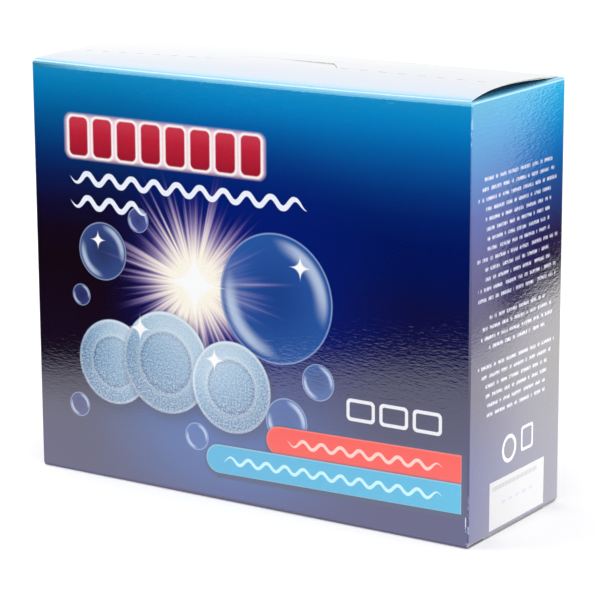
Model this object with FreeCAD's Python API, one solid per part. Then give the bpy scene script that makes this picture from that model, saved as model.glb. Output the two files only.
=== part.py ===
import FreeCAD, Part
import math
import os

from FreeCAD import Vector

# Sealed folding carton for dishwasher tablets.
# One sheet of printed board is folded into a tube, glued along one back corner
# and closed by four glued flaps at each end.  Nothing opens or shows the inside,
# so the walls and what they hold are one solid.
# Millimetres.  The origin is on the table under the middle of the carton,
# +X runs along the front wall to the right, the front faces -Y, +Z is up.

# Outside of the folded tube
width = 180.0
depth = 63.0
height = 150.0              # table to the top fold of the side walls
board = 0.45                # thickness of the printed board

# Rounding of the scored folds, on the outside of the board
corner_crease_radius = 0.7  # four upright corners
long_fold_radius = 1.4      # front and back walls into the long flaps
side_fold_radius = 0.8      # side walls into the dust flaps

# Long flaps, measured from the outside of the wall that carries them
outer_flap_length = 53.0
inner_flap_length = 52.0
flap_side_inset = 0.9       # the long flaps are cut narrower than the tube

# Outer flap of the top.  It is glued down along its free edge only, and springs
# up between the front fold and that edge, more towards the right end.
hinge_rise = 0.7            # its fold stands higher than the folds of the sides
bow_left = 0.4              # height of the bow over the straight flap
bow_middle = 2.15
bow_right = 1.95
free_corner_lift = 0.235    # right back corner, past the end of the glue
free_corner_length = 30.0   # how far that corner has come away along the edge
crest_share = 0.41          # place of the highest point between fold and free edge

# Inner flap of the top.  The glue pulls it up with the outer flap.
inner_hold = 0.28           # it springs up this much less than that at the left end
inner_edge_share = 0.7      # rise of its free edge, as a share of its spring
inner_bow_share = 0.515     # height of its bow over the straight flap, likewise
inner_crest_power = 1.35    # moves the highest point towards the free edge

# Glue under the free edge of the outer flap
glue_film = 0.1             # thickness
glue_edge_distance = 4.0    # from the free edge to the middle of the glue
glue_line_width = 4.0
glue_left_margin = 6.0      # from the left side of the flap
glue_right_margin = 32.0    # from the right side, where the corner is free

# Tear line across the outer flap, with a thumb tab in the middle
tear_line_distance = 21.5   # from the front wall
slit_length = 3.2
slit_pitch = 7.6
slit_width = 0.3
tab_reach = 9.0             # how far the tab stands behind the tear line
tab_root_width = 50.0
tab_tip_width = 36.0
tab_cut_width = 0.25
edge_margin = 4.0           # the last slit stays this far inside the flap's side

# Drawing of the bowed flaps
bow_stations = 9            # sections across the width
bow_points = 14             # points on each section
glue_stations = 7           # sections along the glue

# Values worked out from the sizes above
front_y = -depth / 2
back_y = depth / 2
flap_half_width = width / 2 - flap_side_inset
lower_deck = 2 * board                  # underside of the bottom dust flaps
hinge_y = front_y + long_fold_radius
hinge_z = height + hinge_rise
inner_hinge_y = back_y - long_fold_radius
inner_face_z = height + board
inner_edge_y = back_y - inner_flap_length
free_edge_y = front_y + outer_flap_length
tear_y = front_y + tear_line_distance
clear_above = height + 20 * board       # higher than any point of the flaps


def prism(wire, start, length):
    """A solid that a closed outline sweeps from start along one straight length."""
    placed = wire.translated(start)
    return Part.Face(placed).extrude(length)


def corner_arc(centre, radius, start_angle, end_angle, across, along):
    """Arc about a centre in the plane of two unit directions, angles in degrees."""
    def point(angle):
        turn = math.radians(angle)
        return centre + across * (radius * math.cos(turn)) + along * (radius * math.sin(turn))
    middle_angle = (start_angle + end_angle) / 2
    return Part.Arc(point(start_angle), point(middle_angle), point(end_angle)).toShape()


def closed_outline(pieces):
    """Joins arcs by straight edges into one closed wire.

    Each piece is an arc's edge or a single point.
    """
    edges = []
    ends = []
    for piece in pieces:
        if isinstance(piece, Vector):
            ends.append((piece, piece, None))
        else:
            first = piece.valueAt(piece.FirstParameter)
            last = piece.valueAt(piece.LastParameter)
            ends.append((first, last, piece))
    for place, (first, last, arc) in enumerate(ends):
        if arc is not None:
            edges.append(arc)
        following = ends[(place + 1) % len(ends)][0]
        if last.distanceToPoint(following) > 1e-6:
            edges.append(Part.LineSegment(last, following).toShape())
    return Part.Wire(edges)


def outline_from_above():
    """Walls seen from above, with the cut edge of the back wall on the glue seam.

    The back wall is glued over a narrow flap of the left wall, so at that corner
    the left wall turns in one board thickness lower.
    """
    right, back = Vector(1, 0, 0), Vector(0, 1, 0)
    r = corner_crease_radius
    x = width / 2 - r
    y = depth / 2 - r
    seam_y = y - board
    return closed_outline([
        corner_arc(Vector(-x, -y, 0), r, 180, 270, right, back),
        corner_arc(Vector(x, -y, 0), r, 270, 360, right, back),
        corner_arc(Vector(x, y, 0), r, 0, 90, right, back),
        Vector(-x, back_y, 0),
        corner_arc(Vector(-x, seam_y, 0), r, 90, 180, right, back),
    ])


def outline_from_side():
    """Front and back walls seen from the right, with the folds of the long flaps."""
    back, up = Vector(0, 1, 0), Vector(0, 0, 1)
    r = long_fold_radius
    y = depth / 2 - r
    return closed_outline([
        corner_arc(Vector(0, -y, r), r, 180, 270, back, up),
        corner_arc(Vector(0, y, board + r), r, 270, 360, back, up),
        corner_arc(Vector(0, y, inner_face_z - r), r, 0, 90, back, up),
        corner_arc(Vector(0, -y, hinge_z - r), r, 90, 180, back, up),
    ])


def outline_from_front():
    """Side walls seen from the front, with the folds of the dust flaps."""
    right, up = Vector(1, 0, 0), Vector(0, 0, 1)
    r = side_fold_radius
    x = width / 2 - r
    low = lower_deck + r
    high = height - r
    return closed_outline([
        corner_arc(Vector(-x, 0, low), r, 180, 270, right, up),
        corner_arc(Vector(x, 0, low), r, 270, 360, right, up),
        corner_arc(Vector(x, 0, high), r, 0, 90, right, up),
        corner_arc(Vector(-x, 0, high), r, 90, 180, right, up),
    ])


def tube_footprint():
    """The outline from above drawn up past everything, to trim what is folded over."""
    reach = clear_above + height
    return prism(outline_from_above(), Vector(0, 0, -height), Vector(0, 0, reach + height))


def tube_with_dust_flaps():
    """The four walls between the dust flaps of the top and those of the bottom."""
    from_side = prism(outline_from_side(), Vector(-width, 0, 0), Vector(2 * width, 0, 0))
    from_front = prism(outline_from_front(), Vector(0, -depth, 0), Vector(0, 2 * depth, 0))
    return tube_footprint().common(from_side).common(from_front)


def long_flap_fold(wall_y, face_z, outward):
    """Fold of a long flap at the top of a wall, from the wall to the flat board.

    outward is 1 for a flap on top and -1 for one underneath.
    """
    back, up = Vector(0, 1, 0), Vector(0, 0, 1)
    inward = -math.copysign(1, wall_y)
    r = long_fold_radius
    root_z = face_z - outward * 2 * r
    centre = Vector(0, wall_y + inward * r, face_z - outward * r)
    arc = corner_arc(centre, r, 180, 90, back * inward, up * outward)
    outline = closed_outline([
        Vector(0, wall_y, root_z),
        arc,
        Vector(0, wall_y + inward * r, root_z),
    ])
    return prism(outline, Vector(-flap_half_width, 0, 0), Vector(2 * flap_half_width, 0, 0))


def flat_long_flap(wall_y, face_z, flap_length, outward):
    """A long flap that lies flat, with its fold."""
    inward = -math.copysign(1, wall_y)
    fold_y = wall_y + inward * long_fold_radius
    edge_y = wall_y + inward * flap_length
    sheet = Part.makeBox(
        2 * flap_half_width,
        abs(edge_y - fold_y),
        board,
        Vector(-flap_half_width, min(fold_y, edge_y), min(face_z, face_z - outward * board)),
    )
    return long_flap_fold(wall_y, face_z, outward).fuse(sheet)


def bow_height(across):
    """Height of the bow at a place across the flap, from 0 at the left to 1 at the right.

    One parabola passes through the three measured heights.
    """
    left_part = bow_left * (1 - across) * (1 - 2 * across)
    middle_part = bow_middle * 4 * across * (1 - across)
    right_part = bow_right * across * (2 * across - 1)
    return left_part + middle_part + right_part


def free_share(across):
    """How free the back edge is: 0 where it is glued and 1 at the right end."""
    from_right = (1 - across) * 2 * flap_half_width
    inside = max(0.0, 1 - from_right / free_corner_length)
    return inside * inside


def inner_face_height(across, y):
    """Height of the inner flap's upper face at one place."""
    along = (inner_hinge_y - y) / (inner_hinge_y - inner_edge_y)
    spring = bow_height(across) - inner_hold * (1 - across)
    bow = inner_bow_share * math.sin(math.pi * along ** inner_crest_power)
    return inner_face_z + spring * (inner_edge_share * along + bow)


def outer_face_height(across, y):
    """Height of the outer flap's printed face at one place."""
    glued_z = inner_face_height(across, free_edge_y) + glue_film + board
    edge_z = glued_z + free_corner_lift * free_share(across)
    along = (y - hinge_y) / (free_edge_y - hinge_y)
    skew = math.log(0.5) / math.log(crest_share)
    straight = hinge_z + (edge_z - hinge_z) * along
    return straight + bow_height(across) * math.sin(math.pi * along ** skew)


def flap_section(across, face_height, fold_y, edge_y):
    """Cut across a bowed flap: upper face, free edge, lower face and fold."""
    x = flap_half_width * (2 * across - 1)
    face = []
    for step in range(bow_points):
        y = fold_y + (edge_y - fold_y) * step / (bow_points - 1)
        face.append(Vector(x, y, face_height(across, y)))
    inside = [point - Vector(0, 0, board) for point in face]
    face_curve = Part.BSplineCurve()
    face_curve.interpolate(face)
    inside_curve = Part.BSplineCurve()
    inside_curve.interpolate(inside[::-1])
    return Part.Wire([
        face_curve.toShape(),
        Part.LineSegment(face[-1], inside[-1]).toShape(),
        inside_curve.toShape(),
        Part.LineSegment(inside[0], face[0]).toShape(),
    ])


def bowed_sheet(face_height, fold_y, edge_y):
    """Sheet of a bowed flap, drawn through sections from the left to the right."""
    shares = [step / (bow_stations - 1) for step in range(bow_stations)]
    sections = [flap_section(across, face_height, fold_y, edge_y) for across in shares]
    return Part.makeLoft(sections, True, False)


def slit_places():
    """Middles of the slits on the right half, from the tab towards the side."""
    places = []
    x = tab_root_width / 2 + slit_pitch - slit_length - slit_length / 2
    while x + slit_length / 2 < flap_half_width - edge_margin:
        places.append(x)
        x += slit_pitch
    return places


def tear_line_cutters():
    """Thin blades for the slits of the tear line and the cut round the thumb tab."""
    low = height - board
    tall = clear_above - low
    blades = []
    for side in (-1, 1):
        for x in slit_places():
            corner = Vector(side * x - slit_length / 2, tear_y - slit_width / 2, low)
            blades.append(Part.makeBox(slit_length, slit_width, tall, corner))

    tab_splay = (tab_root_width - tab_tip_width) / 2 / tab_reach

    def tab_outline(grow, root_y):
        tip_y = tear_y + tab_reach + grow
        tip = tab_tip_width / 2 + grow
        root = tip + tab_splay * (tip_y - root_y)
        return Part.makePolygon([
            Vector(-root, root_y, low),
            Vector(root, root_y, low),
            Vector(tip, tip_y, low),
            Vector(-tip, tip_y, low),
            Vector(-root, root_y, low),
        ])

    # The tab hangs on the front part of the flap, so its root stays uncut.
    outside = Part.Face(tab_outline(tab_cut_width / 2, tear_y)).extrude(Vector(0, 0, tall))
    inside_root_y = tear_y - tab_reach
    inside = Part.Face(tab_outline(-tab_cut_width / 2, inside_root_y)).extrude(Vector(0, 0, tall))
    blades.append(outside.cut(inside))
    return blades


def bowed_outer_flap():
    """Top outer flap: its fold on the front wall and the sprung, perforated sheet."""
    sheet = bowed_sheet(outer_face_height, hinge_y, free_edge_y)
    for blade in tear_line_cutters():
        sheet = sheet.cut(blade)
    return long_flap_fold(front_y, hinge_z, 1).fuse(sheet)


def bowed_inner_flap():
    """Top inner flap: its fold on the back wall and the sheet under the outer flap."""
    sheet = bowed_sheet(inner_face_height, inner_hinge_y, inner_edge_y)
    return long_flap_fold(back_y, inner_face_z, 1).fuse(sheet)


def glue_line():
    """Set glue that fills the gap between the two bowed flaps along one strip."""
    left = glue_left_margin / (2 * flap_half_width)
    right = 1 - glue_right_margin / (2 * flap_half_width)
    near_y = free_edge_y - glue_edge_distance - glue_line_width / 2
    far_y = near_y + glue_line_width
    bite = board / 4
    sections = []
    for step in range(glue_stations):
        across = left + (right - left) * step / (glue_stations - 1)
        x = flap_half_width * (2 * across - 1)
        corners = [
            Vector(x, near_y, inner_face_height(across, near_y) - bite),
            Vector(x, far_y, inner_face_height(across, far_y) - bite),
            Vector(x, far_y, outer_face_height(across, far_y) - board + bite),
            Vector(x, near_y, outer_face_height(across, near_y) - board + bite),
        ]
        sections.append(Part.makePolygon(corners + corners[:1]))
    return Part.makeLoft(sections, True, True)


def carton():
    """The whole sealed carton as one solid."""
    folded_over = [
        flat_long_flap(back_y, board, inner_flap_length, -1),
        flat_long_flap(front_y, 0.0, outer_flap_length, -1),
        bowed_inner_flap(),
        bowed_outer_flap(),
    ]
    footprint = tube_footprint()
    body = tube_with_dust_flaps()
    for flap in folded_over:
        body = body.fuse(flap.common(footprint))
    return body.fuse(glue_line()).removeSplitter()


os.makedirs("parts", exist_ok=True)
carton().exportStep("parts/carton.step")
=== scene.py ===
import math

import bmesh
import bpy
from mathutils import Matrix, Vector


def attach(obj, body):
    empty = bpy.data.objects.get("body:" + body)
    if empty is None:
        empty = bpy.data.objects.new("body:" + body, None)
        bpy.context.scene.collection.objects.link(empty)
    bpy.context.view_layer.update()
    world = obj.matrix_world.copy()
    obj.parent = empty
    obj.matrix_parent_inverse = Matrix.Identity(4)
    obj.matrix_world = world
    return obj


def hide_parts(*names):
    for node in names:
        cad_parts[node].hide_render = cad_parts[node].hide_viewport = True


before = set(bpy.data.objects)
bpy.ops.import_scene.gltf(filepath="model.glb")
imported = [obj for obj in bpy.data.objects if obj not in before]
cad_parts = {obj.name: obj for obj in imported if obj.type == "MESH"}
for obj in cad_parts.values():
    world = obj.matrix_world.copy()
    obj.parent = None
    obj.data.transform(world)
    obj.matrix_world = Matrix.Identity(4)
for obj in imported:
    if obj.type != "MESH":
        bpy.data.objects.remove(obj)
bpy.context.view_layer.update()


# The four walls
# One blank of coated, printed board is scored, folded into a tube and glued along the left
# back corner, where the back wall's cut edge lies over a narrow flap of the left wall.
# The walls stop at the folds of the long flaps and turn into the dust flaps at the sides.

MM = 0.001
width = 180 * MM
depth = 63 * MM
wall_foot = 0.9 * MM
wall_top = 150 * MM
board = 0.45 * MM
corner_crease_radius = 0.7 * MM
dust_flap_fold_radius = 0.8 * MM
flap_root_high = wall_top - dust_flap_fold_radius
flap_root_low = wall_foot + dust_flap_fold_radius
top_fold_dip = 0.6 * MM


def deselect_everything():
    for thing in bpy.context.selected_objects:
        thing.select_set(False)


def pick(kind, test):
    """In edit mode, selects the verts, edges or faces whose middle passes the test."""
    mesh = bmesh.from_edit_mesh(bpy.context.object.data)
    bpy.context.tool_settings.mesh_select_mode = (kind == "verts", kind == "edges", kind == "faces")
    for part in list(mesh.verts) + list(mesh.edges) + list(mesh.faces):
        part.select = False
    for part in getattr(mesh, kind):
        if kind == "verts":
            chosen = test(part.co)
        elif kind == "edges":
            chosen = test((part.verts[0].co + part.verts[1].co) / 2, part.verts[1].co - part.verts[0].co)
        else:
            chosen = test(part.calc_center_median(), part.normal)
        part.select_set(bool(chosen))
    mesh.select_flush_mode()
    bmesh.update_edit_mesh(bpy.context.object.data)


def cut_across(normal, places):
    """In edit mode, cuts the whole mesh by planes square to a direction."""
    for place in places:
        bpy.ops.mesh.select_all(action="SELECT")
        bpy.ops.mesh.bisect(plane_co=Vector(normal) * place, plane_no=normal)


def fold_dip(x):
    """How far the fold between the front wall and the top hangs below its ends."""
    return top_fold_dip * (1 - min(1.0, abs(x) / (width / 2)) ** 3)


deselect_everything()
bpy.ops.mesh.primitive_cube_add(size=1, location=(0, 0, 0))
walls = bpy.context.object
walls.name = "carton_walls"
bpy.ops.object.mode_set(mode="EDIT")
bpy.ops.transform.resize(value=(width, depth, wall_top - wall_foot), center_override=(0, 0, 0))
bpy.ops.transform.translate(value=(0, 0, (wall_top + wall_foot) / 2))
pick("edges", lambda middle, way: abs(way.z) > 0.1)
bpy.ops.mesh.bevel(offset=corner_crease_radius, segments=5, affect="EDGES")
pick("edges", lambda middle, way: abs(way.z) < 1e-6)
bpy.ops.mesh.bevel(offset=dust_flap_fold_radius, segments=4, affect="EDGES")

# The overlap on the left back corner: the glue flap's wall lies one board lower.
seam_x = -width / 2 + corner_crease_radius
cut_across((1, 0, 0), [seam_x, seam_x + 0.01 * MM])
pick("verts", lambda place: place.x < seam_x + 0.002 * MM and place.y > depth / 2 - 2 * MM)
bpy.ops.transform.translate(value=(0, -board, 0))

# Loops for the slight swell of the walls and the dip of the front fold.
cut_across((1, 0, 0), [x * MM for x in range(-80, 81, 10)])
cut_across((0, 1, 0), [y * MM for y in (-24, -16, -8, 0, 8, 16, 24)])
cut_across((0, 0, 1), [z * MM for z in (6, 18, 32, 46, 60, 75, 90, 104, 118, 132, 141, 146.5)])
bpy.ops.object.mode_set(mode="OBJECT")
for vertex in walls.data.vertices:
    x, y, z = vertex.co
    rise = math.sin(math.pi * min(1.0, max(0.0, (z - wall_foot) / (wall_top - wall_foot))))
    if abs(x) > width / 2 - 0.01 * MM:
        swell = 0.25 * MM * rise * math.cos(math.pi * y / depth)
        vertex.co.x += math.copysign(swell, x)
    if abs(y) > depth / 2 - 0.01 * MM:
        swell = 0.3 * MM * rise * math.cos(math.pi * x / width)
        vertex.co.y += math.copysign(swell, y)
    near_front = max(0.0, min(1.0, (-y - depth / 2 + 6 * MM) / (5 * MM)))
    near_top = max(0.0, min(1.0, (z - 104 * MM) / (wall_top - 104 * MM)))
    vertex.co.z -= fold_dip(x) * near_front * near_top ** 2
for face in walls.data.polygons:
    cut_edge = face.normal.x < -0.9 and face.center.y > depth / 2 - board and face.center.x < seam_x + board
    face.material_index = 1 if cut_edge and face.center.x > seam_x else 0
bpy.ops.object.shade_smooth_by_angle(angle=math.radians(40))
bpy.ops.object.modifier_add(type="WEIGHTED_NORMAL")
walls.modifiers[-1].keep_sharp = True
bpy.ops.object.modifier_apply(modifier=walls.modifiers[-1].name)


# The print on the walls, under gloss varnish.  Object coordinates are in metres, so they are
# turned into millimetres first and every shape below is in millimetres.

def ink(red, green, blue):
    """A printed colour given as it looks on a screen, 0 to 255."""
    def linear(value):
        value = value / 255
        return value / 12.92 if value <= 0.04045 else ((value + 0.055) / 1.055) ** 2.4
    return (linear(red), linear(green), linear(blue), 1.0)


class Print:
    """Node tree of one printed board, built up in layers like passes of a press."""

    def __init__(self, name):
        self.material = bpy.data.materials.new(name)
        self.material.use_nodes = True
        self.tree = self.material.node_tree
        self.shader = self.tree.nodes["Principled BSDF"]
        where = self.tree.nodes.new("ShaderNodeTexCoord").outputs["Object"]
        self.place = self.vector("SCALE", where, scale=1000)
        split = self.tree.nodes.new("ShaderNodeSeparateXYZ")
        self.tree.links.new(self.place, split.inputs[0])
        self.x, self.y, self.z = split.outputs

    def feed(self, socket, value):
        if isinstance(value, bpy.types.NodeSocket):
            self.tree.links.new(value, socket)
        else:
            socket.default_value = value

    def math(self, operation, first, second=0.0, clamp=False):
        node = self.tree.nodes.new("ShaderNodeMath")
        node.operation = operation
        node.use_clamp = clamp
        self.feed(node.inputs[0], first)
        self.feed(node.inputs[1], second)
        return node.outputs[0]

    def vector(self, operation, first, second=(0, 0, 0), scale=1.0):
        node = self.tree.nodes.new("ShaderNodeVectorMath")
        node.operation = operation
        self.feed(node.inputs[0], first)
        self.feed(node.inputs[1], second)
        if operation == "SCALE":
            self.feed(node.inputs["Scale"], scale)
        return node.outputs["Value" if operation in ("LENGTH", "DISTANCE", "DOT_PRODUCT") else "Vector"]

    def point(self, x, y=0.0, z=0.0):
        node = self.tree.nodes.new("ShaderNodeCombineXYZ")
        for socket, value in zip(node.inputs, (x, y, z)):
            self.feed(socket, value)
        return node.outputs[0]

    def share(self, value, start, end, smooth=False):
        """0 at start and 1 at end."""
        node = self.tree.nodes.new("ShaderNodeMapRange")
        node.interpolation_type = "SMOOTHSTEP" if smooth else "LINEAR"
        self.feed(node.inputs["Value"], value)
        self.feed(node.inputs["From Min"], start)
        self.feed(node.inputs["From Max"], end)
        return node.outputs["Result"]

    def noise(self, where, scale, detail=2.0):
        node = self.tree.nodes.new("ShaderNodeTexNoise")
        self.feed(node.inputs["Vector"], where)
        self.feed(node.inputs["Scale"], scale)
        self.feed(node.inputs["Detail"], detail)
        return node.outputs[0]

    def ramp(self, value, stops):
        node = self.tree.nodes.new("ShaderNodeValToRGB")
        self.feed(node.inputs[0], value)
        elements = node.color_ramp.elements
        while len(elements) < len(stops):
            elements.new(1.0)
        for element, (place, colour) in zip(elements, stops):
            element.position = place
            element.color = colour
        return node.outputs[0]

    def over(self, under, colour, mask):
        """Lays a colour over what is printed so far, where the mask is 1."""
        node = self.tree.nodes.new("ShaderNodeMix")
        node.data_type = "RGBA"
        self.feed(node.inputs[0], mask)
        self.feed(node.inputs[6], under)
        self.feed(node.inputs[7], colour)
        return node.outputs[2]

    def both(self, first, second):
        return self.math("MULTIPLY", first, second)

    def either(self, first, second):
        return self.math("MAXIMUM", first, second)

    def panel(self, flat, middle, half, corner=0.0, soft=0.12):
        """A rectangle with rounded corners on a flat wall."""
        away = self.vector("ABSOLUTE", self.vector("SUBTRACT", flat, (*middle, 0)))
        inner = (half[0] - corner, half[1] - corner, 0)
        away = self.vector("MAXIMUM", self.vector("SUBTRACT", away, inner), (0, 0, 0))
        return self.share(self.vector("LENGTH", away), corner + soft, max(corner - soft, 0.0))

    def disc(self, flat, middle, radius, soft=0.12):
        return self.share(self.vector("DISTANCE", flat, (*middle, 0)), radius + soft, radius - soft)

    def ring(self, flat, middle, radius, half_width, soft=0.12):
        away = self.math("SUBTRACT", self.vector("DISTANCE", flat, (*middle, 0)), radius)
        return self.share(self.math("ABSOLUTE", away), half_width + soft, half_width - soft)

    def sparkle(self, flat, middle, reach, soft=0.1):
        """A four-pointed star."""
        away = self.vector("ABSOLUTE", self.vector("SUBTRACT", flat, (*middle, 0)))
        split = self.tree.nodes.new("ShaderNodeSeparateXYZ")
        self.tree.links.new(self.vector("SCALE", away, scale=1 / reach), split.inputs[0])
        total = self.math("ADD", self.math("SQRT", split.outputs[0]), self.math("SQRT", split.outputs[1]))
        return self.share(total, 1 + soft, 1 - soft)

    def wave(self, across, up, start, end, height, rise, length, half_width):
        """A wavy stroke, as wide on its slopes as on its crests, that thins out towards both ends."""
        turn = self.math("MULTIPLY", across, 2 * math.pi / length)
        line = self.math("ADD", self.math("MULTIPLY", self.math("SINE", turn), rise), height)
        slope = self.math("MULTIPLY", self.math("COSINE", turn), rise * 2 * math.pi / length)
        steepness = self.math("SQRT", self.math("ADD", self.math("MULTIPLY", slope, slope), 1.0))
        away = self.math("DIVIDE", self.math("ABSOLUTE", self.math("SUBTRACT", up, line)), steepness)
        middle = (start + end) / 2
        from_middle = self.math("ABSOLUTE", self.math("SUBTRACT", across, middle))
        half_length = (end - start) / 2
        thick = self.math("MULTIPLY", self.share(from_middle, half_length, half_length - 6), half_width)
        within = self.share(from_middle, half_length, half_length - 0.5)
        return self.both(self.share(self.math("SUBTRACT", thick, away), -0.12, 0.12), within)

    def finish(self, colour, roughness, ripple):
        """Colour, gloss and the fine ripple of varnished board."""
        self.feed(self.shader.inputs["Base Color"], colour)
        self.feed(self.shader.inputs["Roughness"], roughness)
        stretched = self.vector("MULTIPLY", self.place, (0.46, 0.46, 1.45))
        bump = self.tree.nodes.new("ShaderNodeBump")
        bump.inputs["Strength"].default_value = 1.0
        bump.inputs["Distance"].default_value = ripple
        self.feed(bump.inputs["Height"], self.noise(stretched, 1.0, 2.5))
        self.tree.links.new(bump.outputs[0], self.shader.inputs["Normal"])
        self.tree.links.new(bump.outputs[0], self.shader.inputs["Coat Normal"])
        self.shader.inputs["Specular IOR Level"].default_value = 0.0
        self.shader.inputs["Coat Weight"].default_value = 1.0
        self.shader.inputs["Coat Roughness"].default_value = 0.07
        self.shader.inputs["Coat IOR"].default_value = 1.9


pack = Print("printed_walls")
front_flat = pack.point(pack.x, pack.z)
side_flat = pack.point(pack.y, pack.z)
on_front = pack.share(pack.y, -30.7, -31.0)
past_front_crease = pack.share(pack.math("ADD", pack.x, pack.y), 58.2, 58.8)
facing_right = pack.both(past_front_crease, pack.share(pack.x, 89.0, 89.3))
on_right = pack.both(pack.share(pack.x, 89.2, 89.5), pack.share(pack.y, -31.1, -30.8))

# The ground of the print: cyan-blue at the top, falling to navy, and darker violet at the left of
# the front.  The colour of the right wall also turns darker violet towards its back.
height_share = pack.math("DIVIDE", pack.z, 150.0)
ground = pack.ramp(height_share, [
    (0.00, ink(20, 14, 104)), (0.15, ink(16, 12, 90)), (0.35, ink(14, 10, 72)), (0.53, ink(12, 15, 68)),
    (0.60, ink(4, 18, 84)), (0.67, ink(1, 20, 91)), (0.735, ink(2, 30, 104)), (0.787, ink(3, 49, 122)),
    (0.833, ink(3, 71, 144)), (0.88, ink(1, 94, 166)), (0.92, ink(1, 115, 185)),
    (0.953, ink(1, 130, 196)), (1.00, ink(20, 144, 200)),
])
dusk = pack.ramp(height_share, [
    (0.00, ink(32, 26, 94)), (0.15, ink(26, 20, 76)), (0.30, ink(24, 11, 34)), (0.53, ink(22, 8, 20)),
    (0.60, ink(20, 9, 26)), (0.67, ink(17, 13, 50)), (0.735, ink(11, 28, 82)), (0.787, ink(5, 46, 107)),
    (0.833, ink(3, 67, 130)), (0.88, ink(1, 88, 149)), (0.92, ink(1, 107, 168)),
    (0.953, ink(1, 122, 182)), (1.00, ink(20, 140, 194)),
])
side_ground = pack.ramp(height_share, [
    (0.00, ink(24, 24, 112)), (0.15, ink(24, 32, 120)), (0.22, ink(32, 22, 106)), (0.35, ink(36, 8, 68)),
    (0.50, ink(34, 8, 84)), (0.57, ink(32, 12, 102)), (0.65, ink(30, 32, 122)), (0.735, ink(28, 58, 150)),
    (0.80, ink(18, 92, 172)), (0.853, ink(12, 117, 188)), (0.887, ink(10, 131, 194)),
    (0.933, ink(10, 146, 204)), (0.98, ink(24, 158, 202)),
])
side_dusk = pack.ramp(height_share, [
    (0.00, ink(28, 14, 84)), (0.15, ink(28, 12, 76)), (0.35, ink(36, 8, 22)), (0.56, ink(34, 20, 50)),
    (0.65, ink(42, 30, 74)), (0.735, ink(38, 62, 124)), (0.80, ink(22, 88, 158)), (0.853, ink(12, 114, 186)),
    (0.887, ink(10, 129, 196)), (0.933, ink(10, 154, 213)), (0.98, ink(24, 172, 222)),
])
side_ground = pack.over(side_ground, side_dusk, pack.share(pack.y, -28, 24))
to_the_left = pack.both(pack.share(pack.x, 4, -62, smooth=True), on_front)
colour = pack.over(pack.over(ground, side_ground, facing_right), dusk, to_the_left)

# The design of the front: a soft burst of light, plates in a row and glassy soap bubbles.
foot_light = pack.vector("MULTIPLY", pack.vector("SUBTRACT", front_flat, (-8, 24, 0)), (0.6, 1, 1))
foot_light = pack.both(pack.share(pack.vector("LENGTH", foot_light), 42, 4, smooth=True), on_front)
colour = pack.over(colour, ink(28, 92, 170), pack.math("MULTIPLY", foot_light, 0.8))
burst_middle = (-20, 77)
from_burst = pack.vector("SUBTRACT", front_flat, (*burst_middle, 0))
burst_distance = pack.vector("LENGTH", from_burst)
glow = pack.vector("LENGTH", pack.vector("SUBTRACT", front_flat, (4, 78, 0)))
glow = pack.both(pack.share(glow, 68, 20, smooth=True), on_front)
colour = pack.over(colour, ink(4, 28, 118), pack.math("MULTIPLY", glow, 0.75))
rays = pack.noise(pack.vector("NORMALIZE", from_burst), 13.0, 4.0)
reach = pack.math("MULTIPLY", burst_distance, pack.math("ADD", pack.share(rays, 0.70, 0.34), 0.92))
burst = pack.ramp(pack.math("DIVIDE", reach, 54.0), [
    (0.0, ink(255, 252, 240)), (0.28, ink(255, 248, 234)), (0.42, ink(240, 224, 226)),
    (0.56, ink(186, 164, 208)), (0.76, ink(98, 80, 164)), (1.0, ink(40, 36, 126)),
])
burst_mask = pack.both(pack.share(reach, 50, 12, smooth=True), on_front)
colour = pack.over(colour, burst, burst_mask)


def plate(colour, middle, radius):
    """A plate seen from above: pale rim, ring of shade and well, brighter towards the burst."""
    away = pack.vector("SUBTRACT", front_flat, (*middle, 0))
    share = pack.math("DIVIDE", pack.vector("LENGTH", away), radius)
    tone = pack.ramp(share, [
        (0.0, ink(138, 182, 214)), (0.50, ink(126, 172, 208)), (0.58, ink(74, 122, 168)),
        (0.63, ink(190, 214, 232)), (0.70, ink(146, 188, 216)), (0.92, ink(118, 166, 204)),
        (0.97, ink(216, 230, 242)), (1.0, ink(160, 194, 220)),
    ])
    towards = Vector((burst_middle[0] - middle[0], burst_middle[1] - middle[1], 0)).normalized()
    lit = pack.share(pack.vector("DOT_PRODUCT", away, towards), -radius, radius, smooth=True)
    tone = pack.over(tone, ink(40, 74, 128), pack.math("MULTIPLY", pack.math("SUBTRACT", 1.0, lit), 0.62))
    tone = pack.over(tone, ink(238, 244, 250), pack.math("MULTIPLY", pack.math("POWER", lit, 3.0), 0.45))
    speckle = pack.share(pack.noise(front_flat, 1.5, 3.0), 0.42, 0.66)
    tone = pack.over(tone, ink(222, 236, 244), pack.math("MULTIPLY", speckle, 0.5))
    shadow = pack.disc(front_flat, (middle[0] + 1.2, middle[1] - 1.6), radius + 0.6, soft=2.4)
    shadow = pack.math("MULTIPLY", pack.both(shadow, on_front), 0.6)
    colour = pack.over(colour, ink(16, 22, 74), shadow)
    return pack.over(colour, tone, pack.both(pack.disc(front_flat, middle, radius, soft=0.2), on_front))


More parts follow.
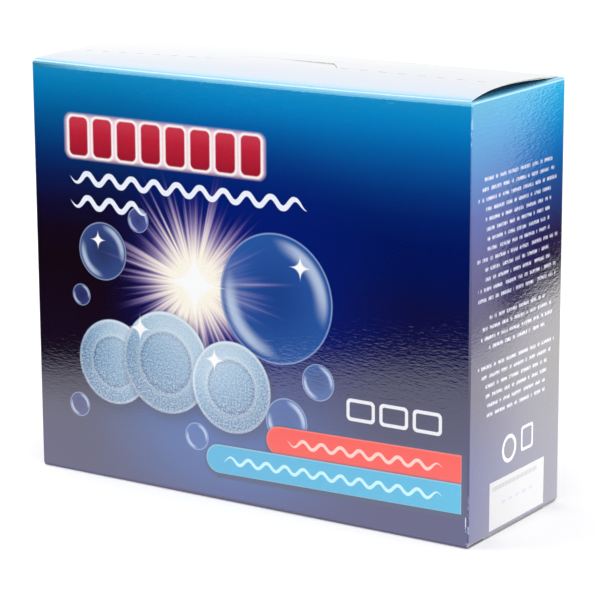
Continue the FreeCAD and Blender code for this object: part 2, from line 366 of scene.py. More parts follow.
def bubble(colour, middle, radius, tint, strength):
    """A soap bubble: blue body, thin bright rim, and soft streaks of window light on both sides."""
    away = pack.vector("SUBTRACT", front_flat, (*middle, 0))
    share = pack.math("DIVIDE", pack.vector("LENGTH", away), radius)
    inside = pack.both(pack.share(share, 1.01, 0.99), on_front)
    body = pack.math("MULTIPLY", pack.share(share, 0.0, 1.0, smooth=True), 0.45)
    body = pack.math("MULTIPLY", pack.math("ADD", body, 0.55), strength)
    colour = pack.over(colour, tint, pack.both(body, inside))
    slope = pack.math("DIVIDE", pack.vector("DOT_PRODUCT", away, (0.82, 0.57, 0)), radius)
    band = pack.both(pack.share(share, 0.62, 0.8, smooth=True), pack.share(share, 0.95, 0.84, smooth=True))
    streak = pack.both(band, pack.share(pack.math("ABSOLUTE", slope), 0.42, 0.8, smooth=True))
    rim = pack.math("MULTIPLY", pack.ring(front_flat, middle, radius * 0.985, 0.16, soft=0.3), 0.55)
    rim = pack.either(rim, pack.math("MULTIPLY", streak, 0.7))
    return pack.over(colour, ink(206, 222, 244), pack.both(rim, inside))


colour = bubble(colour, (14, 76), 23, ink(42, 92, 168), 0.85)
colour = bubble(colour, (-60, 84), 10.5, ink(60, 84, 150), 0.75)
colour = bubble(colour, (-44, 97), 4.5, ink(90, 100, 170), 0.7)
colour = bubble(colour, (31, 49), 6.5, ink(50, 96, 168), 0.8)
colour = bubble(colour, (-70, 67), 4, ink(60, 70, 140), 0.7)
colour = plate(colour, (-56, 44), 15.5)
colour = plate(colour, (-33, 47), 18.5)
colour = plate(colour, (-5, 42), 16.5)
colour = bubble(colour, (18, 33), 8.5, ink(44, 92, 166), 0.8)
colour = bubble(colour, (-20, 22), 5, ink(50, 96, 170), 0.8)
colour = bubble(colour, (-72, 26), 4.5, ink(54, 64, 136), 0.75)

# A row of plain red tiles with a pale border and a soft glow.
tile_count = 8
tile_pitch = 10.55
tiles_left = -75.0
tiles_right = tiles_left + tile_count * tile_pitch
tiles_height = 124.5
tile_row = pack.math("DIVIDE", pack.math("SUBTRACT", pack.x, tiles_left), tile_pitch)
in_tile = pack.math("MULTIPLY", pack.math("SUBTRACT", pack.math("FRACT", tile_row), 0.5), tile_pitch)
tile_flat = pack.point(in_tile, pack.z)
tile_range = pack.both(
    pack.share(pack.x, tiles_left - 0.01, tiles_left),
    pack.share(pack.x, tiles_right + 0.01, tiles_right),
)
halo_middle = ((tiles_left + tiles_right) / 2, tiles_height)
halo = pack.panel(front_flat, halo_middle, (42.6, 7.7), 2.6, soft=0.9)
colour = pack.over(colour, ink(250, 214, 224), pack.both(pack.math("MULTIPLY", halo, 0.9), on_front))
border = pack.both(pack.panel(tile_flat, (0, tiles_height), (5.0, 7.7), 2.6, soft=0.4), tile_range)
colour = pack.over(colour, ink(255, 246, 248), pack.both(border, on_front))
red = pack.ramp(pack.share(pack.z, tiles_height - 7, tiles_height + 7), [
    (0.0, ink(158, 22, 44)), (0.6, ink(188, 34, 56)), (1.0, ink(204, 58, 78)),
])
tiles = pack.both(pack.panel(tile_flat, (0, tiles_height), (4.1, 6.9), 2.0, soft=0.25), tile_range)
colour = pack.over(colour, red, pack.both(tiles, on_front))

# Below the tiles, two plain white waves, one long and one short.
waves = 0.0
for wave_end, wave_height in ((27, 109.6), (-40, 100.9)):
    wave = pack.wave(pack.x, pack.z, -74, wave_end, wave_height, rise=1.75, length=9.8, half_width=0.95)
    waves = pack.either(waves, wave)
colour = pack.over(colour, ink(238, 242, 255), pack.both(waves, on_front))

# Three plain outlined tablets above the ribbons.
tablets = 0.0
tablet_height = 41.5
for tablet_x in (48, 61, 74):
    outer = pack.panel(front_flat, (tablet_x, tablet_height), (5.6, 3.9), 1.7)
    inner = pack.panel(front_flat, (tablet_x, tablet_height), (4.4, 2.7), 0.8)
    tablets = pack.either(tablets, pack.both(outer, pack.math("SUBTRACT", 1.0, inner)))
colour = pack.over(colour, ink(232, 232, 238), pack.both(tablets, on_front))

# The ribbons rise a little towards the right, so their height is measured from a sloping line.
ribbon_z = pack.math("SUBTRACT", pack.z, pack.math("MULTIPLY", pack.math("SUBTRACT", pack.x, 20.0), 0.018))
ribbon_flat = pack.point(pack.x, ribbon_z)


def ribbon(colour, left, right, low, high, tint, border):
    """A flat ribbon with a round left end, a pale upper border and a soft shade under it."""
    half = (high - low) / 2
    middle = (low + high) / 2

    def outline(drop, grow, soft):
        bar_middle = ((left + half + right) / 2, middle - drop)
        bar_half = ((right - left - half) / 2 + grow, half + grow)
        bar = pack.panel(ribbon_flat, bar_middle, bar_half, soft=soft)
        end = pack.disc(ribbon_flat, (left + half, middle - drop), half + grow, soft=soft)
        return pack.either(bar, end)

    shade = pack.math("MULTIPLY", outline(0.7, 0.7, 0.9), 0.9)
    colour = pack.over(colour, ink(0, 44, 96), pack.both(shade, on_front))
    colour = pack.over(colour, border, pack.both(outline(0.0, 0.0, 0.12), on_front))
    return pack.over(colour, tint, pack.both(outline(0.15, -0.4, 0.3), on_front))


ribbon_end = 87.1
colour = ribbon(colour, 9.6, ribbon_end, 20.8, 31.0, ink(244, 44, 24), ink(246, 96, 84))
blue = pack.over(ink(36, 168, 214), ink(24, 176, 218), pack.share(pack.x, -20, 88))
colour = ribbon(colour, -16, ribbon_end, 10.75, 21.05, blue, ink(128, 184, 206))
for wave_start, wave_height, tint in ((18, 25.8, ink(255, 200, 190)), (-9, 15.8, ink(190, 238, 246))):
    wave = pack.wave(pack.x, ribbon_z, wave_start, 80, wave_height, rise=1.2, length=7.6, half_width=0.6)
    colour = pack.over(colour, tint, pack.both(wave, on_front))

# Stars of light on the design.
lights = pack.sparkle(front_flat, burst_middle, 13)
for light_place, light_reach in (((-44, 58), 5), ((24, 88), 4.5), ((-12, 51), 4.5), ((-62, 88), 3.5)):
    lights = pack.either(lights, pack.sparkle(front_flat, light_place, light_reach))
colour = pack.over(colour, ink(255, 255, 255), pack.both(lights, on_front))

# The right wall: rows of fine print as broken strokes, two plain marks and the white date field.
row_pitch = 3.35


def fine_print(top, rows, half_length):
    """Centred rows of plain dashes of uneven length and strength."""
    down = pack.math("DIVIDE", pack.math("SUBTRACT", top, pack.z), row_pitch)
    row = pack.math("FLOOR", down)
    in_row = pack.math("FRACT", down)
    upright = pack.both(pack.share(in_row, 0.26, 0.40), pack.share(in_row, 0.74, 0.60))
    inside = pack.both(pack.share(down, -0.001, 0.0), pack.share(down, rows, rows - 0.001))
    gaps = 1.0
    for pitch, shift, gap in ((8.3, 3.1, 0.13), (13.7, 5.9, 0.08)):
        turn = pack.math("DIVIDE", pack.math("ADD", pack.y, pack.math("MULTIPLY", row, shift)), pitch)
        in_turn = pack.math("ABSOLUTE", pack.math("SUBTRACT", pack.math("FRACT", turn), 0.5))
        gaps = pack.both(pack.share(in_turn, 0.5 - gap / 2, 0.5 - gap / 2 - 0.03), gaps)
    length = pack.tree.nodes.new("ShaderNodeTexWhiteNoise")
    pack.feed(length.inputs["Vector"], pack.point(row, top, 3.0))
    reach = pack.math("ADD", pack.math("MULTIPLY", length.outputs["Value"], 7.0), half_length - 7.0)
    short = pack.share(pack.math("SUBTRACT", reach, pack.math("ABSOLUTE", pack.y)), 0.0, 0.3)
    grain = pack.noise(pack.point(pack.math("MULTIPLY", pack.y, 1.9), pack.z, top), 1.0, 2.0)
    strength = pack.math("ADD", pack.math("MULTIPLY", pack.share(grain, 0.36, 0.6), 0.74), 0.18)
    return pack.both(pack.both(pack.both(upright, inside), pack.both(gaps, short)), strength)


small = pack.either(fine_print(125.3, 13, 28.0), fine_print(78.5, 4, 26.0))
small = pack.either(small, fine_print(62.0, 6, 27.0))
colour = pack.over(colour, ink(226, 228, 246), pack.both(small, on_right))
round_place = (-4.5, 28.5)
for radius, tint in ((4.9, ink(226, 226, 234)), (3.6, ink(70, 62, 96))):
    round_mark = pack.disc(side_flat, round_place, radius)
    colour = pack.over(colour, tint, pack.both(round_mark, on_right))
square_place = (8, 29.5)
square_mark = pack.both(
    pack.panel(side_flat, square_place, (4.2, 4.4), 1.2),
    pack.math("SUBTRACT", 1.0, pack.panel(side_flat, square_place, (3.2, 3.4), 0.7)),
)
colour = pack.over(colour, ink(220, 220, 230), pack.both(square_mark, on_right))
date_field = pack.both(pack.panel(side_flat, (1.5, 10.8), (19, 8.4)), on_right)
colour = pack.over(colour, ink(198, 196, 198), date_field)
field_head = pack.panel(side_flat, (0, 16.6), (15.5, 0.7), soft=0.2)
field_cell = pack.share(pack.math("FRACT", pack.math("DIVIDE", pack.y, 0.95)), 0.3, 0.5)
field_head = pack.math("MULTIPLY", pack.both(field_head, field_cell), 0.7)
colour = pack.over(colour, ink(120, 118, 126), pack.both(field_head, on_right))
stamp = 0.0
stamp_left = -8
stamp_pitch = 4.8
for dash in range(5):
    dash_middle = (stamp_left + dash * stamp_pitch, 10.6)
    stamp = pack.either(stamp, pack.panel(side_flat, dash_middle, (1.3, 0.5), 0.4, soft=0.3))
colour = pack.over(colour, ink(150, 164, 200), pack.both(pack.math("MULTIPLY", stamp, 0.6), on_right))

# Scuffs and painted light: the ink is worn off the front right crease in a broken hairline, high up
# and by the foot.  A highlight is painted along the folds of the dust flaps, and shade on the dust
# flaps under the outer flap.
across_crease = pack.math("SUBTRACT", pack.x, pack.y)
at_crease = pack.share(across_crease, 120.93, 121.03)
worn_heights = pack.either(
    pack.both(pack.share(pack.z, 130, 137), pack.share(pack.z, 147, 144)),
    pack.both(pack.share(pack.z, 3, 6), pack.share(pack.z, 20, 12)),
)
chips = pack.share(pack.noise(pack.vector("MULTIPLY", pack.place, (1, 1, 0.5)), 1.3, 3.0), 0.5, 0.56)
bare_board = pack.both(pack.both(at_crease, worn_heights), chips)
nick = pack.both(pack.share(pack.z, 2.6, 1.4), pack.share(across_crease, 120.2, 120.8))
bare_board = pack.either(bare_board, nick)
colour = pack.over(colour, ink(182, 206, 234), pack.math("MULTIPLY", bare_board, 0.5))
scratch = pack.share(pack.math("ABSOLUTE", pack.math("SUBTRACT", pack.x, 88.9)), 0.26, 0.1)
scratch_height = pack.both(pack.share(pack.z, 5.2, 6.2), pack.share(pack.z, 12.0, 10.5))
scratch = pack.both(pack.both(scratch, scratch_height), pack.both(chips, on_front))
colour = pack.over(colour, ink(226, 226, 242), pack.math("MULTIPLY", scratch, 0.9))
# Along the foot of the right wall the pale sheet shows where the print is rubbed off, painted lighter still
# to offset the shade at the foot.
rubbed_and_lightened_foot = pack.both(pack.share(pack.z, 1.6, 1.3), facing_right)
colour = pack.over(colour, ink(214, 212, 216), pack.math("MULTIPLY", rubbed_and_lightened_foot, 0.9))
rubbed_back_crease = pack.share(pack.math("ADD", pack.x, pack.y), 120.3, 120.9)
colour = pack.over(colour, ink(150, 152, 160), pack.math("MULTIPLY", rubbed_back_crease, 0.35))
# A painted highlight in light cyan runs along the folds of the dust flaps.
side_fold_highlight = pack.both(pack.share(pack.z, 149.0, 149.2), pack.share(pack.z, 149.75, 149.55))
side_fold_highlight = pack.both(side_fold_highlight, pack.share(pack.math("ABSOLUTE", pack.x), 89.0, 89.3))
colour = pack.over(colour, ink(176, 230, 246), pack.math("MULTIPLY", side_fold_highlight, 0.9))
# The dust flaps are printed blue; inward under the outer flap they are painted darker, a painted shade.
on_dust_flap = pack.share(pack.z, 149.8, 149.9)
painted_shade_under_flap = pack.share(pack.math("ABSOLUTE", pack.x), 88.9, 85.0)
dust_flap = pack.over(ink(110, 196, 226), ink(50, 140, 194), painted_shade_under_flap)
colour = pack.over(colour, dust_flap, on_dust_flap)

# On the front the blue ends just under the fold, on a slightly jagged line.  Above it lies a light
# cyan band, partly print and partly a painted highlight on the rounded fold; towards the left end
# it is painted darker teal, a painted shade that damps the highlight there.
jag = pack.math("MULTIPLY", pack.noise(pack.place, 0.9, 3.0), 0.5)
fold_edge = pack.math("ADD", pack.math("MULTIPLY", pack.share(pack.x, 40, 90), 0.45), 147.75)
fold_edge = pack.math("ADD", fold_edge, jag)
past_edge = pack.both(pack.share(pack.math("SUBTRACT", pack.z, fold_edge), 0.0, 0.2), on_front)
far_left = pack.share(pack.x, -62, -88)
fold_band_and_highlight = pack.over(ink(106, 194, 230), ink(36, 124, 160), far_left)
colour = pack.over(colour, fold_band_and_highlight, past_edge)

# The screen of the print: a grain of fine dots, just visible in the flat colours.
grain = pack.share(pack.noise(pack.place, 2.2, 2.0), 0.35, 0.65)
colour = pack.over(colour, ink(0, 4, 40), pack.math("MULTIPLY", grain, 0.07))
roughness = pack.math("ADD", pack.math("MULTIPLY", pack.noise(pack.place, 0.05, 2.0), 0.06), 0.3)
pack.finish(colour, pack.math("ADD", roughness, pack.math("MULTIPLY", bare_board, 0.3)), 3.6e-5)
walls.data.materials.append(pack.material)

# The raw cut edge and unprinted back of the board: pale grey pulp, darker along the bottom where it stands.
raw = Print("raw_board")
pulp = raw.noise(raw.vector("MULTIPLY", raw.place, (1, 1, 4)), 1.4, 4.0)
raw_colour = raw.over(ink(206, 204, 200), ink(232, 231, 228), pulp)
darker_at_foot = raw.math("MULTIPLY", raw.share(raw.z, 1.3, 1.0), 0.85)
raw_colour = raw.over(raw_colour, ink(128, 128, 134), darker_at_foot)
raw.feed(raw.shader.inputs["Base Color"], raw_colour)
raw.shader.inputs["Roughness"].default_value = 0.85
fibre = raw.tree.nodes.new("ShaderNodeBump")
fibre.inputs["Strength"].default_value = 0.4
fibre.inputs["Distance"].default_value = 3e-5
raw.feed(fibre.inputs["Height"], raw.noise(raw.place, 2.6, 3.0))
raw.tree.links.new(fibre.outputs[0], raw.shader.inputs["Normal"])
walls.data.materials.append(raw.material)
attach(walls, "root")
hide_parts("carton")


# Inner flap of the top and both long flaps of the bottom
# Each is the part of the same blank that folds over from the back or front wall and lies
# flat on what is below it.  The bottom flaps are glued together over their whole face.

flap_half_width = 89.1 * MM
inner_half_width = 87.6 * MM
bottom_half_width = 89.5 * MM
inner_flap_length = 52 * MM
outer_flap_length = 53 * MM
outer_fold_radius = 1.4 * MM
top_deck = 150.45 * MM


def sheet_flap(name, wall_y, face_z, outward, length, fold_radius, root_z, half_width, columns=24, rows=8):
    """A flap lying flat, its quarter-round fold and the short skirt down to the wall."""
    inward = -math.copysign(1, wall_y)
    fold_y = wall_y + inward * fold_radius
    edge_y = wall_y + inward * length
    deselect_everything()
    bpy.ops.mesh.primitive_grid_add(x_subdivisions=columns, y_subdivisions=rows, size=1, location=(0, 0, 0))
    flap = bpy.context.object
    flap.name = name
    bpy.ops.object.mode_set(mode="EDIT")
    bpy.ops.transform.resize(value=(2 * half_width, abs(edge_y - fold_y), 1), center_override=(0, 0, 0))
    bpy.ops.transform.translate(value=(0, (edge_y + fold_y) / 2, face_z))
    pick("edges", lambda middle, way: abs(middle.y - fold_y) < 1e-6)
    centre = (0, fold_y, face_z - outward * fold_radius)
    bpy.ops.mesh.spin(steps=7, angle=math.radians(-90) * inward * outward, center=centre, axis=(1, 0, 0))
    skirt = root_z - (face_z - outward * fold_radius)
    if abs(skirt) > 1e-6:
        bpy.ops.mesh.extrude_region_move(TRANSFORM_OT_translate={"value": (0, 0, skirt)})
    bpy.ops.mesh.select_all(action="SELECT")
    bpy.ops.mesh.remove_doubles(threshold=1e-6)
    bpy.ops.mesh.normals_make_consistent(inside=False)
    bpy.ops.object.mode_set(mode="OBJECT")
    lying = [face.normal.z for face in flap.data.polygons if abs(face.normal.z) > 0.9]
    if sum(lying) * outward < 0:
        bpy.ops.object.mode_set(mode="EDIT")
        bpy.ops.mesh.select_all(action="SELECT")
        bpy.ops.mesh.flip_normals()
        bpy.ops.object.mode_set(mode="OBJECT")
    return flap


def give_thickness(flap, face_material):
    """The board's thickness goes to the inner side; its back and cut edges are raw."""
    flap.data.materials.append(face_material)
    flap.data.materials.append(raw.material)
    bpy.context.view_layer.objects.active = flap
    bpy.ops.object.modifier_add(type="SOLIDIFY")
    solid = flap.modifiers[-1]
    solid.thickness = board
    solid.offset = -1
    solid.use_even_offset = True
    solid.material_offset = 1
    solid.material_offset_rim = 1
    bpy.ops.object.modifier_apply(modifier=solid.name)


# The pale print of the top: the blue of the walls ends on the fold, in a thin cyan band.
top = Print("printed_top")
from_fold = top.math("ADD", top.y, 31.5)
band = top.ramp(top.math("DIVIDE", from_fold, 20.0), [
    (0.0, ink(98, 182, 220)), (0.05, ink(132, 196, 226)), (0.1, ink(172, 212, 230)),
    (0.2, ink(200, 214, 226)), (0.5, ink(206, 212, 224)), (1.0, ink(211, 214, 220)),
])
mottle = top.noise(top.place, 0.06, 3.0)
top_colour = top.over(band, ink(198, 208, 222), top.math("MULTIPLY", mottle, 0.25))
# The top's fold is painted darker teal towards its left end, a painted shade that damps the highlight there.
darker_left_fold = top.both(top.share(top.z, 150.0, 149.6), top.share(top.x, -50, -90))
top_colour = top.over(top_colour, ink(50, 130, 160), top.math("MULTIPLY", darker_left_fold, 0.8))
# Painted light: the top is painted paler towards the left and towards the back.
painted_window_light = top.both(top.share(top.x, 60, -85), top.share(top.y, -22, 20))
top_colour = top.over(top_colour, ink(244, 246, 250), top.math("MULTIPLY", painted_window_light, 0.7))
top_rough = top.math("ADD", top.math("MULTIPLY", mottle, 0.08), 0.2)
top.finish(top_colour, top_rough, 1.5e-5)

# The bottom is printed in the plain navy of the foot of the walls.
foot = Print("printed_foot")
foot_tone = foot.over(ink(14, 10, 96), ink(22, 18, 104), foot.noise(foot.place, 0.08, 3.0))
foot_rough = foot.math("ADD", foot.math("MULTIPLY", foot.noise(foot.place, 0.3, 2.0), 0.12), 0.2)
foot.finish(foot_tone, foot_rough, 1.5e-5)


bow_left = 0.4 * MM
bow_middle = 2.15 * MM
bow_right = 1.95 * MM


def bow(across):
    """Height of the outer flap's bow: across is 0 at the left of the flap and 1 at the right."""
    left = bow_left * (1 - across) * (1 - 2 * across)
    middle = bow_middle * 4 * across * (1 - across)
    right = bow_right * across * (2 * across - 1)
    return left + middle + right


lift_start_y = 30.1 * MM
lift_length = 50.6 * MM
slack_left = 0.28 * MM


def inner_flap_height(x, y):
    """How high the inner flap's face is pulled up by the glue at one place."""
    across = (x / flap_half_width + 1) / 2
    along = min(1.0, max(0.0, (lift_start_y - y) / lift_length))
    spring = bow(across) - slack_left * (1 - across)
    return top_deck + spring * (0.7 * along + 0.515 * math.sin(math.pi * along ** 1.35))


inner_flap = sheet_flap(
    "top_inner_flap", depth / 2, top_deck, 1, inner_flap_length,
    top_deck - flap_root_high, flap_root_high, inner_half_width, rows=24,
)
for vertex in inner_flap.data.vertices:
    if vertex.co.y < lift_start_y - 1e-6:
        vertex.co.z = inner_flap_height(vertex.co.x, vertex.co.y)
bottom_inner = sheet_flap(
    "bottom_inner_flap", depth / 2, board, -1, inner_flap_length,
    flap_root_low - board, flap_root_low, bottom_half_width,
)
bottom_outer = sheet_flap(
    "bottom_outer_flap", -depth / 2, 0.0, -1, outer_flap_length,
    outer_fold_radius, flap_root_low, bottom_half_width,
)
printed_faces = (
    (inner_flap, top.material),
    (bottom_inner, foot.material),
    (bottom_outer, foot.material),
)
for flap, face_material in printed_faces:
    give_thickness(flap, face_material)
    bpy.ops.object.shade_smooth_by_angle(angle=math.radians(40))
    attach(flap, "root")


# Outer flap of the top
# It folds over from the front wall and is glued down along its free edge only, so it springs
# up between, most at the middle and right, and its right back corner has come away.
# A perforated line with a thumb tab is cut across it for opening; here it is still whole.

hinge_y = outer_fold_radius - depth / 2
hinge_z = 150.7 * MM
free_edge_y = 21.5 * MM
glued_gap = 0.55 * MM
freed_gap = 0.235 * MM
freed_width = 30 * MM
crown_place = 0.41


def flap_height(x, y):
    """How high the printed face springs up at one place of the flap."""
    across = (x / flap_half_width + 1) / 2
    freed = max(0.0, 1 - (1 - across) * 2 * flap_half_width / freed_width) ** 2
    edge_z = inner_flap_height(x, free_edge_y) + glued_gap + freed_gap * freed
    along = min(1.0, max(0.0, (y - hinge_y) / (free_edge_y - hinge_y)))
    skew = math.log(0.5) / math.log(crown_place)
    return hinge_z + (edge_z - hinge_z) * along + bow(across) * math.sin(math.pi * along ** skew)


dip_fade = 20 * MM
outer_flap = sheet_flap(
    "top_outer_flap", -depth / 2, hinge_z, 1, outer_flap_length,
    outer_fold_radius, flap_root_high, flap_half_width, columns=60, rows=34,
)
for vertex in outer_flap.data.vertices:
    x, y, z = vertex.co
    if y > hinge_y:
        vertex.co.z = flap_height(x, y)
    vertex.co.z -= fold_dip(x) * max(0.0, 1 - max(0.0, y - hinge_y) / dip_fade)
give_thickness(outer_flap, top.material)

# One blade per slit, and a three-sided blade for the thumb tab.
tear_y = -10 * MM
tab_reach = 9 * MM
tab_root_half = 25 * MM
tab_end_half = 18 * MM
slit_length = 3.2 * MM
slit_width = 0.5 * MM
slit_pitch = 7.6 * MM
blade_depth = 8 * MM
blade_foot = 148 * MM
blades = []
slit_x = tab_root_half + 2.8 * MM
while slit_x + slit_length / 2 < flap_half_width - 4 * MM:
    for side in (-1, 1):
        deselect_everything()
        slit_place = (side * slit_x, tear_y, blade_foot + blade_depth / 2)
        bpy.ops.mesh.primitive_cube_add(size=1, location=slit_place)
        bpy.ops.transform.resize(value=(slit_length, slit_width, blade_depth))
        blades.append(bpy.context.object)
    slit_x += slit_pitch
deselect_everything()
bpy.ops.mesh.primitive_plane_add(size=1, location=(0, 0, 0))
tab_blade = bpy.context.object
blades.append(tab_blade)
bpy.ops.object.mode_set(mode="EDIT")
bpy.ops.transform.resize(value=(2 * tab_root_half, tab_reach, 1), center_override=(0, 0, 0))
bpy.ops.transform.translate(value=(0, tear_y + tab_reach / 2, blade_foot))
pick("verts", lambda place: place.y > tear_y + tab_reach / 2)
narrowing = tab_end_half / tab_root_half
bpy.ops.transform.resize(value=(narrowing, 1, 1), center_override=(0, tear_y + tab_reach, 0))
pick("edges", lambda middle, way: middle.y < tear_y + 1e-6)
bpy.ops.mesh.delete(type="EDGE_FACE")
bpy.ops.mesh.select_all(action="SELECT")
bpy.ops.mesh.extrude_region_move(TRANSFORM_OT_translate={"value": (0, 0, blade_depth)})
bpy.ops.object.mode_set(mode="OBJECT")
bpy.ops.object.modifier_add(type="SOLIDIFY")
tab_blade.modifiers[-1].thickness = 0.25 * MM
tab_blade.modifiers[-1].offset = 0
bpy.ops.object.modifier_apply(modifier=tab_blade.modifiers[-1].name)
deselect_everything()
for blade in blades:
    blade.select_set(True)
bpy.context.view_layer.objects.active = tab_blade
bpy.ops.object.join()
bpy.ops.object.mode_set(mode="EDIT")
bpy.ops.mesh.select_all(action="SELECT")
bpy.ops.mesh.normals_make_consistent(inside=False)
bpy.ops.object.mode_set(mode="OBJECT")
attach(outer_flap, "root")
tab_blade.data.materials.append(raw.material)
deselect_everything()
outer_flap.select_set(True)
bpy.context.view_layer.objects.active = outer_flap
bpy.ops.object.modifier_add(type="BOOLEAN")
cut = outer_flap.modifiers[-1]
cut.object = tab_blade
cut.operation = "DIFFERENCE"
cut.solver = "EXACT"
bpy.ops.object.modifier_apply(modifier=cut.name)
bpy.data.objects.remove(tab_blade)

# The tab has been pressed down a little, most at the right of its far edge.
press_depth = 0.36 * MM
press_left = -4 * MM
press_right = 20 * MM
for vertex in outer_flap.data.vertices:
    x, y, z = vertex.co
    along_tab = (y - tear_y) / tab_reach
    tab_half = tab_root_half + (tab_end_half - tab_root_half) * along_tab
    if 0 < along_tab < 0.998 and abs(x) < tab_half - 0.02 * MM:
        pressed = min(1.0, max(0.0, (x - press_left) / (press_right - press_left)))
        vertex.co.z -= press_depth * pressed * along_tab ** 1.5
bpy.ops.object.shade_smooth_by_angle(angle=math.radians(40))


# The table and the room
# A white sheet that fades into a white room, lit by a soft box and a fill.  Glowing and black
# cards lie on the table out of sight, and show in gloss only, as painted reflections on the carton.

deselect_everything()
bpy.ops.mesh.primitive_plane_add(size=8, location=(0, 0, 0))
table = bpy.context.object
table.name = "white_table"
paper = bpy.data.materials.new("white_paper")
paper.use_nodes = True
nodes, links = paper.node_tree.nodes, paper.node_tree.links
paper_shader = nodes["Principled BSDF"]
paper_shader.inputs["Base Color"].default_value = (0.86, 0.86, 0.86, 1)
paper_shader.inputs["Roughness"].default_value = 0.9
paper_shader.inputs["Specular IOR Level"].default_value = 0.0
paper_shader.inputs["Emission Color"].default_value = (1, 1, 1, 1)


def seen_directly(tree):
    """1 where the camera, or a ray through gloss or glass, looks at the backdrop."""
    path = tree.nodes.new("ShaderNodeLightPath")
    first = tree.nodes.new("ShaderNodeMath")
    first.operation = "MAXIMUM"
    tree.links.new(path.outputs["Is Camera Ray"], first.inputs[0])
    tree.links.new(path.outputs["Is Glossy Ray"], first.inputs[1])
    second = tree.nodes.new("ShaderNodeMath")
    second.operation = "MAXIMUM"
    tree.links.new(first.outputs[0], second.inputs[0])
    tree.links.new(path.outputs["Is Transmission Ray"], second.inputs[1])
    return second.outputs[0]


sheet_glow = 0.21
lift = nodes.new("ShaderNodeMath")
lift.operation = "MULTIPLY"
lift.inputs[1].default_value = sheet_glow
links.new(seen_directly(paper.node_tree), lift.inputs[0])
links.new(lift.outputs[0], paper_shader.inputs["Emission Strength"])
table.data.materials.append(paper)

card_height = 0.4 * MM


def reflected_card(name, corners):
    """A sheet on the table that shows only in gloss and glows as its paint sets.  Returns the paint of its
    upper face.
    """
    mesh = bpy.data.meshes.new(name)
    mesh.from_pydata([(x * MM, y * MM, card_height) for x, y in corners], [], [list(range(len(corners)))])
    card = bpy.data.objects.new(name, mesh)
    bpy.context.collection.objects.link(card)
    paint = Print(name)
    card.data.materials.append(paint.material)
    card.visible_camera = False
    card.visible_diffuse = False
    card.visible_transmission = False
    card.visible_shadow = False
    paint.shader.inputs["Base Color"].default_value = (0.0, 0.0, 0.0, 1)
    paint.shader.inputs["Roughness"].default_value = 1.0
    paint.shader.inputs["Specular IOR Level"].default_value = 0.0
    paint.shader.inputs["Emission Color"].default_value = (1, 1, 1, 1)
    paint.shader.inputs["Emission Strength"].default_value = 0.0
    return paint


# Each of the two glowing cards is laid out from the wall that it shows in, so that its glow paints
# the reflection on that wall.  A ray from the mirror image of camera_place passes through the wall
# and ends on the card.  How many times further than the wall it has come is its spread.  All places
# are in millimetres.
camera_place = (500.51, -752.86, 284.16)
front_wall_y = -depth / 2 / MM
right_wall_x = width / 2 / MM


def ray_along_wall(card, along, camera_along, spread):
    """Where, along the wall, the ray passes through it."""
    from_camera = card.math("SUBTRACT", along, camera_along)
    return card.math("ADD", card.math("DIVIDE", from_camera, spread), camera_along)


def ray_height(card, spread):
    """How high the ray passes through the wall."""
    fallen = card.math("SUBTRACT", 1.0, card.math("DIVIDE", 1.0, spread))
    return card.math("MULTIPLY", fallen, camera_place[2])


# In front: bright below a border that rises to the right, and dimmer just under it.
front_card = reflected_card("card_front", [(90, -32), (90, -1600), (-1700, -1600), (-1700, -32)])
mirror_y = 2 * front_wall_y - camera_place[1]
spread = front_card.math("SUBTRACT", mirror_y, front_card.y)
spread = front_card.math("DIVIDE", spread, mirror_y - front_wall_y)
wall_x = ray_along_wall(front_card, front_card.x, camera_place[0], spread)
wall_z = ray_height(front_card, spread)
border_z = front_card.math("ADD", front_card.math("MULTIPLY", wall_x, 24 / 170), 50)
above_border = front_card.math("SUBTRACT", wall_z, border_z)
fade_start = front_card.math("MULTIPLY", front_card.share(wall_x, -85, 60), 31.0)
fade_start = front_card.math("SUBTRACT", -14.0, fade_start)
fade = front_card.share(above_border, fade_start, -5)
level = front_card.math("SUBTRACT", 1.58, front_card.math("MULTIPLY", fade, 0.5))
level = front_card.both(level, front_card.share(above_border, 3, -3))
front_card.feed(front_card.shader.inputs["Emission Strength"], level)

# At the right: brightest low down, with a dimmer veil along the front of the wall higher up.
side_card = reflected_card("card_right", [(91, -33), (1600, -33), (1600, 1600), (91, 1600)])
mirror_x = 2 * right_wall_x - camera_place[0]
spread = side_card.math("SUBTRACT", side_card.x, mirror_x)
spread = side_card.math("DIVIDE", spread, right_wall_x - mirror_x)
wall_y = ray_along_wall(side_card, side_card.y, camera_place[1], spread)
wall_z = ray_height(side_card, spread)
low_level = side_card.math("ADD", side_card.math("MULTIPLY", side_card.share(wall_y, -31, 5), 0.7), 1.95)
low_level = side_card.math("ADD", low_level, side_card.math("MULTIPLY", side_card.share(wall_y, 5, 31), 0.2))
veil_end = side_card.math("MULTIPLY", side_card.math("SUBTRACT", wall_z, 90.0), 35 / 59)
veil_end = side_card.math("MAXIMUM", side_card.math("ADD", veil_end, -17.3), -17.0)
veil = side_card.share(side_card.math("SUBTRACT", wall_y, veil_end), 2, -2)
high_level = side_card.math("MULTIPLY", side_card.share(wall_z, 138, 150), 0.25)
high_level = side_card.both(veil, side_card.math("ADD", high_level, 1.0))
patch_foot = side_card.math("MULTIPLY", side_card.share(wall_y, -17, 30), 6.0)
patch_foot = side_card.math("ADD", patch_foot, 71.0)
is_low = side_card.share(side_card.math("SUBTRACT", wall_z, patch_foot), 4, -4)
high_level = side_card.both(side_card.math("SUBTRACT", 1.0, is_low), high_level)
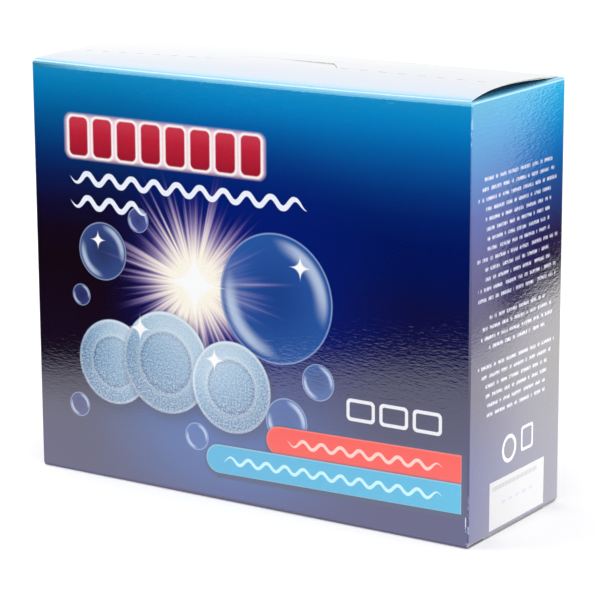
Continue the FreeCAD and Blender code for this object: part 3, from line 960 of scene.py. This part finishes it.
level = side_card.math("ADD", side_card.both(is_low, low_level), high_level)
side_card.feed(side_card.shader.inputs["Emission Strength"], level)

# Behind: plain black.
reflected_card("card_back", [(90, 330), (90, 1500), (-1600, 1500), (-1600, 330)])

room = bpy.data.worlds.new("white_room")
bpy.context.scene.world = room
room.use_nodes = True
room_light = room.node_tree.nodes["Background"]
room_light.inputs["Color"].default_value = (1, 1, 1, 1)
brightness = room.node_tree.nodes.new("ShaderNodeMapRange")
brightness.inputs["To Min"].default_value = 0.92
brightness.inputs["To Max"].default_value = 1.0
room.node_tree.links.new(seen_directly(room.node_tree), brightness.inputs["Value"])
room.node_tree.links.new(brightness.outputs["Result"], room_light.inputs["Strength"])

carton_middle = Vector((0, 0, 70 * MM))


def soft_light(name, place, size, energy):
    """A square light in metres and watts that faces the middle of the carton."""
    deselect_everything()
    bpy.ops.object.light_add(type="AREA", location=place)
    light = bpy.context.object
    light.name = name
    light.data.size = size
    light.data.energy = energy
    light.rotation_euler = (Vector(place) - carton_middle).to_track_quat("Z", "Y").to_euler()


soft_light("soft_box", (-0.65, -0.28, 0.97), 0.6, 3.6)
soft_light("right_fill", (1.1, -0.35, 0.55), 0.7, 5.0)


# The camera
# It stands to the right of the carton and a little above it, as for the photograph.

azimuth = math.radians(33.509)
elevation = math.radians(13.436)
roll = math.radians(-0.324)
level_back = Vector((math.sin(azimuth), -math.cos(azimuth), 0))
back = level_back * math.cos(elevation) + Vector((0, 0, math.sin(elevation)))
right = Vector((math.cos(azimuth), math.sin(azimuth), 0))
up = back.cross(right)
rolled_right = right * math.cos(roll) + up * math.sin(roll)
rolled_up = up * math.cos(roll) - right * math.sin(roll)
axes = Matrix((rolled_right, rolled_up, back)).transposed()
bpy.ops.object.camera_add(location=Vector(camera_place) * MM, rotation=axes.to_euler())
camera = bpy.context.object
camera.data.sensor_width = 36
camera.data.lens = 158.748
camera.data.clip_start = 0.05
bpy.context.scene.camera = camera

bpy.context.scene.view_settings.view_transform = "Standard"
